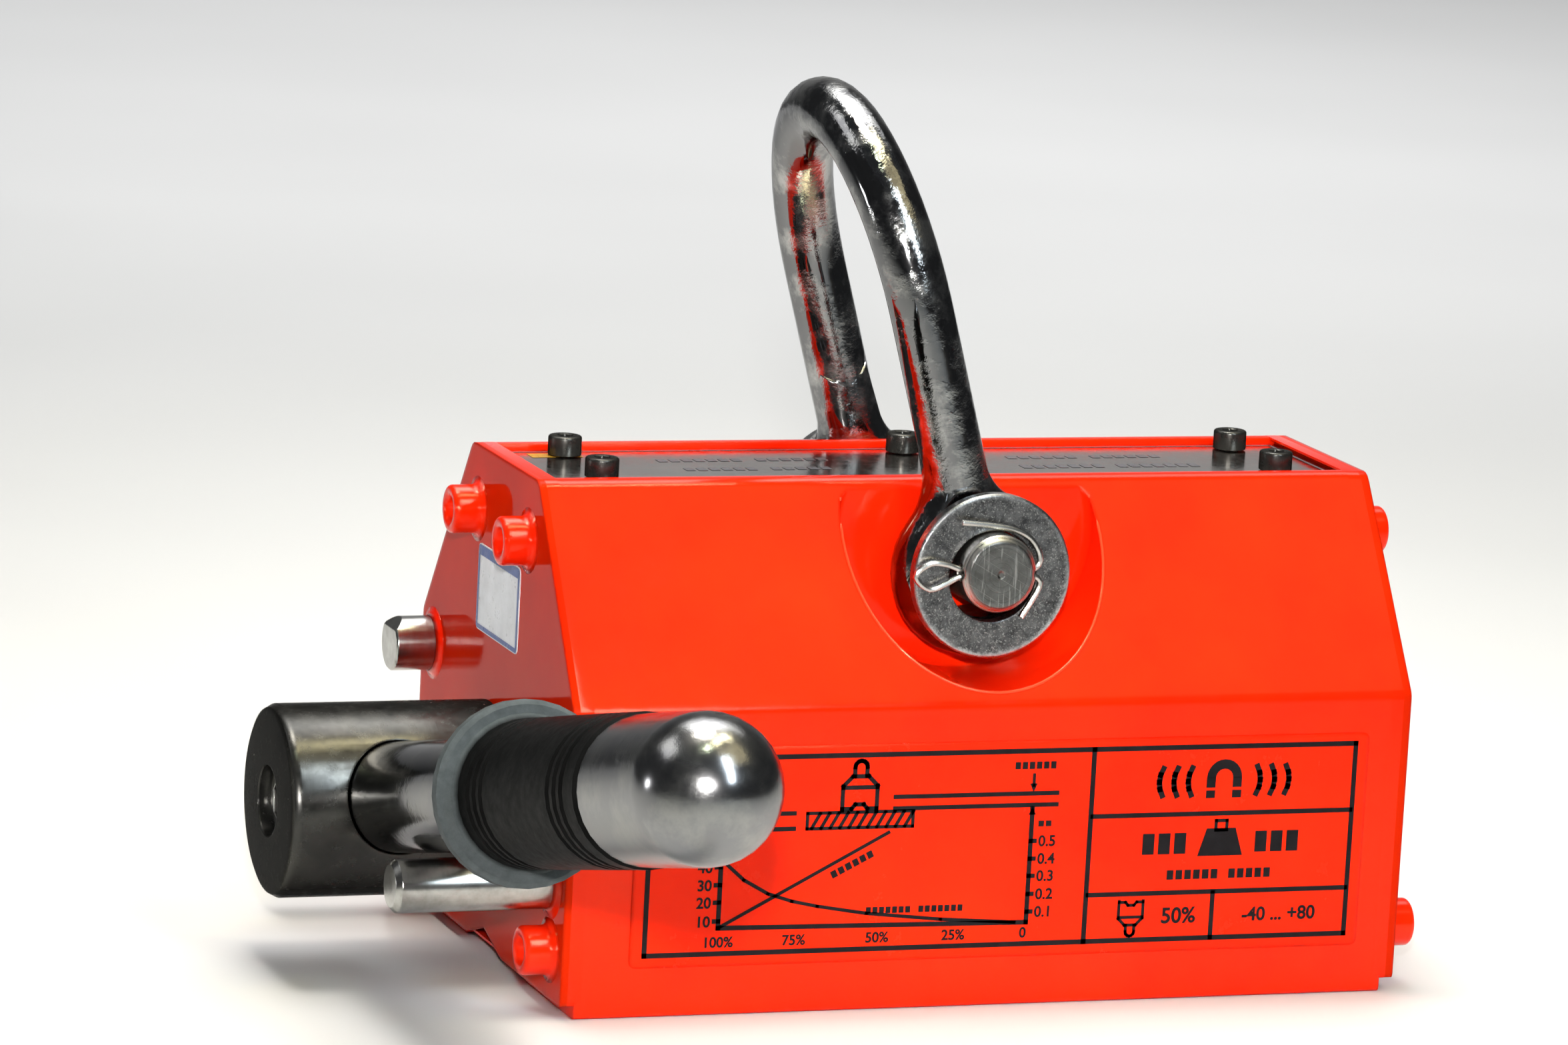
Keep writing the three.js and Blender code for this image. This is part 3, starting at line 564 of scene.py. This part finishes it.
# ---- print ---------------------------------------------------------------------------------------
class Print:
    """Flat shapes on one face. Points are millimetres across and up it, seen from outside."""

    def __init__(self, name, material, origin, across, up, slot):
        self.name, self.material, self.slot = name, material, slot
        self.origin, self.across, self.up = origin, Vector(across), Vector(up)
        self.bm = bmesh.new()

    def area(self, *points):
        corners = [self.bm.verts.new(self.origin + (self.across * a + self.up * b) * MM) for a, b in points]
        self.bm.faces.new(corners)

    def line(self, *points, width=0.7):
        """Strokes from point to point, each reaching half its width past its ends."""
        for (a, b), (c, d) in zip(points, points[1:]):
            length = math.hypot(c - a, d - b)
            ta, tb = (c - a) / length * width / 2, (d - b) / length * width / 2
            right = (a - ta + tb, b - tb - ta), (c + ta + tb, d + tb - ta)
            left = (c + ta - tb, d + tb + ta), (a - ta - tb, b - tb + ta)
            self.area(*right, *left)

    def frame(self, a, b, c, d, width):
        self.line((a, b), (c, b), width=width)
        self.line((c, b), (c, d), width=width)
        self.line((c, d), (a, d), width=width)
        self.line((a, d), (a, b), width=width)

    def blocks(self, a, b, count, wide, tall, turn=0.0):
        """A row of plain blocks, centred on (a, b), where the real thing carries words."""
        ca, sa = math.cos(math.radians(turn)), math.sin(math.radians(turn))
        pitch = 1.35 * wide
        for i in range(count):
            if count > 7 and i == count // 2:
                continue
            u = (i - (count - 1) / 2) * pitch
            corners = ((-1, -1), (1, -1), (1, 1), (-1, 1))
            box = [(u + side * wide / 2, end * tall / 2) for side, end in corners]
            self.area(*[(a + p * ca - q * sa, b + p * sa + q * ca) for p, q in box])

    def number(self, text, a, b, tall):
        """A number centred on (a, b)."""
        curve = bpy.data.curves.new("digits", "FONT")
        curve.body = text
        curve.size = tall / 0.70
        curve.align_x = "CENTER"
        curve.offset = 0.035 * tall
        obj = bpy.data.objects.new("digits", curve)
        shape = bpy.data.meshes.new_from_object(obj)
        for polygon in shape.polygons:
            corners = [shape.vertices[v].co for v in polygon.vertices]
            self.area(*[(a + co.x, b - tall / 2 + co.y) for co in corners])
        bpy.data.objects.remove(obj)
        bpy.data.curves.remove(curve)
        bpy.data.meshes.remove(shape)

    def finish(self):
        piece(self.name, self.bm, self.material, "body", self.slot)


def lifter(ink, a, b, size, flip=1):
    """A small line drawing of a lifter with its loop, standing on (a, b), or hanging if flip is -1."""
    top = [(1.3 * math.cos(t), 8.6 + 1.3 * math.sin(t)) for t in (math.pi * i / 6 for i in range(7))]
    lines = [
        [(-3.7, 0.0), (-1.7, 0.0), (-0.9, 0.9), (0.9, 0.9), (1.7, 0.0), (3.7, 0.0)],
        [(3.7, -0.3), (3.7, 4.7), (1.7, 6.7), (-1.7, 6.7), (-3.7, 4.7), (-3.7, -0.3)],
        [(-3.7, 4.4), (3.7, 4.4)],
        [(1.3, 6.7), *top, (-1.3, 6.7)],
    ]
    for points in lines:
        ink.line(*[(a + size * p, b + flip * size * q) for p, q in points], width=0.9 * size)


def chart(ink):
    """Two curves between three scales, under a small lifter that stands on a hatched plate."""
    ink.line((-58.5, 38.0), (-58.5, 18.2), (8.0, 17.4), (8.0, 41.2), width=0.99)
    ink.line((-21.9, 44.35), (13.2, 44.35), width=0.92)
    ink.line((-21.9, 41.95), (13.2, 41.95), width=0.92)
    ink.line((-58.5, 41.5), (-43.4, 41.5), width=0.92)
    ink.line((-58.5, 38.3), (-43.4, 38.3), width=0.92)
    ink.line((8.0, 48.2), (8.0, 46.0), width=0.66)
    ink.area((8.0, 44.6), (8.8, 46.4), (7.2, 46.4))
    ink.area((8.0, 41.7), (7.2, 39.9), (8.8, 39.9))
    ink.frame(-40.6, 38.2, -17.9, 41.4, 0.7)
    for i in range(11):
        a = -39.6 + 2.0 * i
        ink.line((a, 38.3), (a + 1.7, 41.3), width=0.73)
    lifter(ink, -29.6, 42.1, 1.0)
    ink.line((-58.5, 18.2), (-23.0, 37.0), width=0.73)
    falling = [(-58.5, 32.4), (-53.5, 28.0), (-48.2, 25.0), (-43.0, 23.3)]
    falling += [(-37.5, 22.1), (-26.8, 20.3), (-10.7, 18.6), (5.4, 17.5)]
    ink.line(*falling, width=0.73)
    ink.blocks(-30.5, 30.6, 6, 1.25, 1.5, 27)
    ink.blocks(-16.5, 20.9, 15, 1.05, 1.35)
    ink.blocks(8.2, 50.2, 6, 1.15, 1.5)
    ink.blocks(10.9, 38.0, 2, 1.2, 1.2)
    for text, b in (("0.5", 34.4), ("0.4", 30.7), ("0.3", 27.1), ("0.2", 23.3), ("0.1", 19.6)):
        ink.number(text, 11.6, b, 2.2)
        ink.line((8.0, b), (8.9, b), width=0.92)
    for text, b in (("50", 34.4), ("40", 30.8), ("30", 27.1), ("20", 23.5), ("10", 19.6)):
        ink.number(text, -61.8, b, 2.2)
        ink.line((-59.4, b), (-58.5, b), width=0.92)
    for text, a in (("100%", -58.4), ("75%", -42.2), ("50%", -24.3), ("25%", -7.8), ("0", 7.4)):
        ink.number(text, a, 15.3, 2.1)


def horseshoe(ink, a, b):
    """A horseshoe magnet with three bows of its field on each side. Its arch is centred on (a, b)."""
    outer, inner = 3.9, 1.9
    steps = [math.pi * i / 12 for i in range(13)]
    for p, q in zip(steps, steps[1:]):
        corners = ((outer, p), (outer, q), (inner, q), (inner, p))
        ink.area(*[(a + r * math.cos(t), b + r * math.sin(t)) for r, t in corners])
    angles = [math.radians(angle) for angle in range(-38, 39, 19)]
    for side in (-1, 1):
        for foot, top in ((-2.0, 0.1), (-4.2, -2.6)):
            leg = [(-1, foot), (1, foot), (1, top), (-1, top)]
            ink.area(*[(a + side * 2.9 + u, b + v) for u, v in leg])
        for reach in (4.4, 7.6, 10.8):
            bow = [(reach + 3.6 * math.cos(t), -0.6 + 4.6 * math.sin(t)) for t in angles]
            ink.line(*[(a + side * u, b + v) for u, v in bow], width=1.19)


def cells(ink):
    """Four cells: a horseshoe magnet, a weight between blocks, a lifter upside down, and two numbers."""
    ink.line((20.9, 12.9), (20.9, 53.2), width=1.06)
    ink.line((21.3, 39.15), (78.7, 39.15), width=0.99)
    ink.line((21.3, 22.65), (78.7, 22.65), width=0.99)
    ink.line((49, 12.9), (49, 22.4), width=0.99)
    horseshoe(ink, 50, 46.6)
    ink.area((45.0, 30.2), (55.0, 30.2), (53.2, 36.0), (46.8, 36.0))
    ink.frame(48.8, 35.6, 51.2, 37.6, 0.7)
    ink.blocks(37.5, 33.0, 3, 2.6, 4.4)
    ink.blocks(62.5, 33.0, 3, 2.6, 4.4)
    ink.blocks(50.0, 26.4, 12, 1.45, 2.0)
    lifter(ink, 31.0, 20.9, 0.72, -1)
    ink.number("50%", 41.6, 17.9, 3.2)
    ink.number("-40 ... +80", 64.0, 17.7, 2.8)


def front_print():
    face = Vector((BODY_X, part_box("front_label")[0].y - PRINT_GAP * MM, 0))
    ink = Print("front_label_print", INK, face, (1, 0, 0), (0, 0, 1), "label_film")
    ink.frame(-73.9, 12.9, 79.0, 53.2, 1.05)
    chart(ink)
    cells(ink)
    ink.finish()


def end_print():
    """The sticker's border, with rounded inner corners."""
    origin = Vector((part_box("end_label")[0].x - PRINT_GAP * MM, mid("end_label").y, mid("end_label").z))
    half, tall = extent("end_label").y / 2, extent("end_label").z / 2
    ink = Print("end_label_border", BLUE, origin, (0, -1, 0), (0, 0, 1), "label_paper")
    edge = 0.25
    for a0, b0, a1, b1 in (
        (-half + edge, -tall + 1.2, -half + 1.3, tall - 1.2),
        (half - 1.3, -tall + 1.2, half - edge, tall - 1.2),
        (-half + 1.2, -tall + edge, half - 1.2, -tall + 1.2),
        (-half + 1.2, tall - 2.4, half - 1.2, tall - edge),
    ):
        ink.area((a0, b0), (a1, b0), (a1, b1), (a0, b1))
    quarter = [math.pi * i / 12 for i in range(7)]
    fan = [(0, 0)] + [(0.98 * math.sin(t), 0.98 * math.cos(t)) for t in quarter]
    for sa in (-1, 1):
        for sb in (-1, 1):
            points = [(sa * (half - 1.22 + p), sb * (tall - 1.22 + q)) for p, q in fan]
            ink.area(*(points if sa * sb < 0 else points[::-1]))
    ink.finish()


def nameplate_print():
    """A line round the top cover, rows of plain blocks and one yellow patch."""
    face = Vector((BODY_X, BODY_Y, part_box("top_cover")[1].z + PRINT_GAP * MM))
    a, b = extent("top_cover").x / 2 - 2.2, extent("top_cover").y / 2 - 2.2
    ink = Print("nameplate_lines", GREY_INK, face, (1, 0, 0), (0, 1, 0), "cover_plate")
    ink.frame(-a, -b, a, b, 0.7)
    ink.blocks(-38, 5.5, 14, 2.0, 3.0)
    ink.blocks(-38, -4.5, 12, 2.0, 3.0)
    ink.blocks(38, 5.5, 13, 2.0, 3.0)
    ink.blocks(40, -5.0, 15, 2.0, 3.6)
    ink.finish()
    band = Print("nameplate_band", YELLOW_INK, face, (1, 0, 0), (0, 1, 0), "cover_plate")
    band.area((-82.0, 10.0), (-71.0, 10.0), (-71.0, 14.5), (-82.0, 14.5))
    band.finish()


front_print()
end_print()
nameplate_print()


# ---- paint over the joints of the end plates -----------------------------------------------------
def plate_outline(plate):
    """The convex outline of an end plate, as (y, z) corners in order."""
    points = sorted({(round(v.co.y, 6), round(v.co.z, 6)) for v in nodes[plate].data.vertices})

    def turn(o, a, b):
        return (a[0] - o[0]) * (b[1] - o[1]) - (a[1] - o[1]) * (b[0] - o[0])

    def chain(run):
        hull = []
        for p in run:
            while len(hull) > 1 and turn(hull[-2], hull[-1], p) <= 1e-9:
                hull.pop()
            hull.append(p)
        return hull[:-1]

    return chain(points) + chain(points[::-1])


def paint_seam(name, plate, pole_face):
    """A thin band of paint round the whole end plate, over the joint between it and the poles."""
    hull = plate_outline(plate)
    bm = bmesh.new()
    section = [(-1.5, -0.5), (-1.5, 0.005), (-1.2, 0.02), (1.0, 0.02), (1.3, 0.005), (1.3, -0.5)]
    loops = []
    for i, p in enumerate(hull):
        before, after = Vector(hull[i - 1]), Vector(hull[(i + 1) % len(hull)])
        here = Vector(p)
        n1 = Vector(((here - before).y, -(here - before).x)).normalized()
        n2 = Vector(((after - here).y, -(after - here).x)).normalized()
        out = (n1 + n2).normalized()
        out = out / max(0.5, out.dot(n1))
        ring = [(pole_face + dx * MM, *(here + out * h * MM)) for dx, h in section]
        loops.append([bm.verts.new(co) for co in ring])
    for a, b in zip(loops, loops[1:] + loops[:1]):
        for i in range(len(section)):
            j = (i + 1) % len(section)
            bm.faces.new((a[i], a[j], b[j], b[i]))
    bmesh.ops.recalc_face_normals(bm, faces=bm.faces)
    piece(name, bm, RED_FLAT, "body", "red_paint", sharp=60)


paint_seam("paint_seam_left", "end_plate_left", POLE_LOW.x)
paint_seam("paint_seam_right", "end_plate_right", POLE_HIGH.x)


# ---- paint gathered along the edge of each pocket ------------------------------------------------
LANDING = SHACKLE_PIN.z + 9.2 * MM  # the height at which the swinging shackle meets the edge
LANDING_GAP = 1.8  # mm left bare above and below that height
POCKET_REACH = 40 * MM  # to each side of the pin, further than the pocket goes
BEAD_RADIUS = 0.34


def welded(node):
    """A CAD node's mesh with its corners joined, as a bmesh to free or hand to piece."""
    bm = bmesh.new()
    bm.from_mesh(nodes[node].data)
    bmesh.ops.remove_doubles(bm, verts=bm.verts, dist=WELD * MM)
    return bm


def pocket_edge(pole):
    """Points along the edge between the sloping face and the wall of the pocket, from left to right."""
    bm = welded(pole)
    near = {}
    for edge in bm.edges:
        if len(edge.link_faces) != 2:
            continue
        wall, slope = sorted(edge.link_faces, key=lambda face: abs(face.normal.y))
        if abs(wall.normal.y) > 0.05:
            continue
        if not 0.76 < abs(slope.normal.y) < 0.9 or slope.normal.z < 0.5:
            continue  # the sloping face leans back by about 36 degrees
        a, b = edge.verts
        if max(abs(v.co.x - SHACKLE_PIN.x) for v in (a, b)) > POCKET_REACH:
            continue
        near.setdefault(a, []).append(b)
        near.setdefault(b, []).append(a)
    ends = [v for v, others in near.items() if len(others) == 1]
    here, before, path = min(ends, key=lambda v: v.co.x), None, []
    while here:
        path.append(here.co.copy())
        ahead = [v for v in near[here] if v != before]
        here, before = (ahead[0] if ahead else None), here
    bm.free()
    fine = []
    for a, b in zip(path, path[1:]):
        steps = max(1, round((b - a).length / (0.5 * MM)))
        fine += [a.lerp(b, i / steps) for i in range(steps)]
    return fine + path[-1:]


def pocket_bead(name, pole):
    """A thin bead along the U-shaped edge of the pocket, broken where the shackle lands on it."""
    curve = bpy.data.curves.new(name, "CURVE")
    curve.dimensions = "3D"
    curve.bevel_depth = BEAD_RADIUS * MM
    curve.bevel_resolution = 2
    curve.use_fill_caps = True
    runs = [[]]
    for co in pocket_edge(pole):
        if abs(co.z - LANDING) > LANDING_GAP * MM:
            runs[-1].append(co)
        elif runs[-1]:
            runs.append([])
    for run in runs:
        spline = curve.splines.new("POLY")
        spline.points.add(len(run) - 1)
        for point, co in zip(spline.points, run):
            point.co = (*co, 1)
            point.radius = min(1.0, 0.2 + abs(co.z - LANDING) / MM - LANDING_GAP)
    obj = bpy.data.objects.new(name, curve)
    mesh = bpy.data.meshes.new_from_object(obj)
    bead = bmesh.new()
    bead.from_mesh(mesh)
    bpy.data.objects.remove(obj)
    bpy.data.curves.remove(curve)
    bpy.data.meshes.remove(mesh)
    bmesh.ops.recalc_face_normals(bead, faces=bead.faces)
    piece(name, bead, RED_BEAD, "body", "red_paint", sharp=60)


pocket_bead("pocket_bead_front", "front_pole")
pocket_bead("pocket_bead_rear", "rear_pole")


# ---- spring behind the latch pin -----------------------------------------------------------------
def squeezed_spring():
    """The CAD spring again, welded, as a piece with a mesh of its own."""
    coil = piece("latch_spring_coil", welded("latch_spring"), STEEL, "body", "bright_steel", "latch_spring")
    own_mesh(coil)


squeezed_spring()


# ---- stage ---------------------------------------------------------------------------------------
def backdrop():
    """One pale sheet, in metres: flat under the object, curving up far away on every side."""
    flat, bend, rise, sides, steps = 3.5, 3.0, 6.0, 64, 12
    mesh = bpy.data.meshes.new("backdrop")
    bm = bmesh.new()
    profile = [(2.0, 0.0), (flat, 0.0)]
    for i in range(1, steps + 1):
        a = math.pi / 2 * i / steps
        profile.append((flat + bend * math.sin(a), bend - bend * math.cos(a)))
    profile.append((flat + bend, rise))
    rings = []
    for radius, height in profile:
        ring = []
        for i in range(sides):
            t = 2 * math.pi * i / sides
            ring.append(bm.verts.new((BODY_X + radius * math.cos(t), BODY_Y + radius * math.sin(t), height)))
        rings.append(ring)
    bm.faces.new(rings[0])
    for lower, upper in zip(rings, rings[1:]):
        for i in range(sides):
            j = (i + 1) % sides
            bm.faces.new((lower[j], lower[i], upper[i], upper[j]))
    bm.to_mesh(mesh)
    bm.free()
    mesh.polygons.foreach_set("use_smooth", [True] * len(mesh.polygons))
    obj = bpy.data.objects.new("backdrop", mesh)
    bpy.context.scene.collection.objects.link(obj)
    s = Surface("backdrop_paper", Roughness=0.9, Specular_IOR_Level=0.1)
    s.feed("Base Color", s.ramp(s.noise(400, 2.0), (0.3, (0.60, 0.60, 0.60)), (0.7, (0.64, 0.64, 0.64))))
    mesh.materials.append(s.material)


def softbox(name, place, aim, size, power, spread, colour=(1, 1, 1)):
    """A rectangular lamp, size in metres and power in watts, that the camera doesn't see."""
    light = bpy.data.lights.new(name, "AREA")
    light.shape = "RECTANGLE"
    light.size, light.size_y = size
    light.energy = power
    light.color = colour
    light.spread = math.radians(spread)
    obj = bpy.data.objects.new(name, light)
    obj.location = place
    obj.rotation_euler = (Vector(aim) - Vector(place)).to_track_quat("-Z", "Y").to_euler()
    obj.visible_camera = False
    bpy.context.scene.collection.objects.link(obj)


# The camera solved from the photo: where it stands, and its own right and up.
EYE = Vector((BODY_X - 0.536771, BODY_Y - 1.394640, 0.365979))
RIGHT = Vector((0.941857, -0.331824, 0.052891))
UP = Vector((0.011633, 0.189515, 0.981809))
LENS = 167.365


def camera():
    data = bpy.data.cameras.new("camera")
    data.sensor_fit = "HORIZONTAL"
    data.sensor_width = 36.0
    data.lens = LENS
    data.clip_end = 50
    obj = bpy.data.objects.new("camera", data)
    obj.matrix_world = Matrix.Translation(EYE) @ Matrix((RIGHT, UP, RIGHT.cross(UP))).transposed().to_4x4()
    bpy.context.scene.collection.objects.link(obj)
    bpy.context.scene.camera = obj


def world():
    scene = bpy.context.scene
    scene.world = bpy.data.worlds.new("studio")
    scene.world.use_nodes = True
    background = scene.world.node_tree.nodes["Background"]
    background.inputs["Color"].default_value = (0.9, 0.95, 1.0, 1)
    background.inputs["Strength"].default_value = 0.08
    scene.view_settings.view_transform = "Standard"


def lamps():
    """Lamps that show as reflections stand off from the pin, the hub or the lever's rounded end."""
    pin, hub, nose = at(0, -50, 80), HUB_FACE, NOSE_CENTRE
    softbox("key", EYE + 0.115 * UP, at(-10, -30, 75), (0.04, 0.04), 0.40, 24, (1, 0.98, 0.95))
    softbox("top", at(60, 330, 900), at(10, 70, 60), (0.5, 0.5), 0.45, 54, (1, 0.99, 0.97))
    for name, target, distance, way, size, power, spread, colour in (
        ("slope_panel", pin, 1.4, (0.336, -0.467, 0.818), (0.9, 0.6), 1.3, 150, (1, 0.86, 0.50)),
        ("ceiling", hub, 1.2, (0.20, -0.184, 0.944), (0.5, 0.14), 1.1, 120, (1, 0.90, 0.55)),
        ("rim_lamp", pin, 1.2, (-0.10, 0.11, 0.98), (0.30, 0.30), 1.5, 70, (1, 0.95, 0.85)),
        ("front_panel", hub, 1.4, (0.262, -0.76, 0.595), (0.22, 0.80), 4.2, 120, (0.80, 0.92, 1)),
        ("left_panel", nose, 1.3, (-0.62, 0.36, 0.70), (0.7, 0.4), 0.7, 120, (1, 1, 1)),
        ("side_card", nose, 1.0, (-1.0, 0.47, 0.02), (0.09, 0.12), 0.08, 60, (1, 1, 1)),
        ("lamp_0", nose, 1.5, (0.356, 0.07, 0.932), (0.10, 0.10), 0.20, 70, (1.0, 0.9, 0.6)),
        ("lamp_1", nose, 1.5, (-0.114, -0.235, 0.965), (0.10, 0.10), 0.20, 70, (0.9, 1.0, 0.7)),
    ):
        softbox(name, target + distance * Vector(way), target, size, power, spread, colour)
    softbox("front_wall", at(-500, -2300, 900), at(-1200, -5000, 900), (1.6, 0.6), 9, 120)
    softbox("behind", at(420, 1250, 1500), at(420, 1150, 0), (1.6, 1.6), 14, 100)
    softbox("wall", at(700, 2300, 700), at(1700, 5000, 900), (1.6, 0.6), 36, 120)


backdrop()
lamps()
camera()
world()
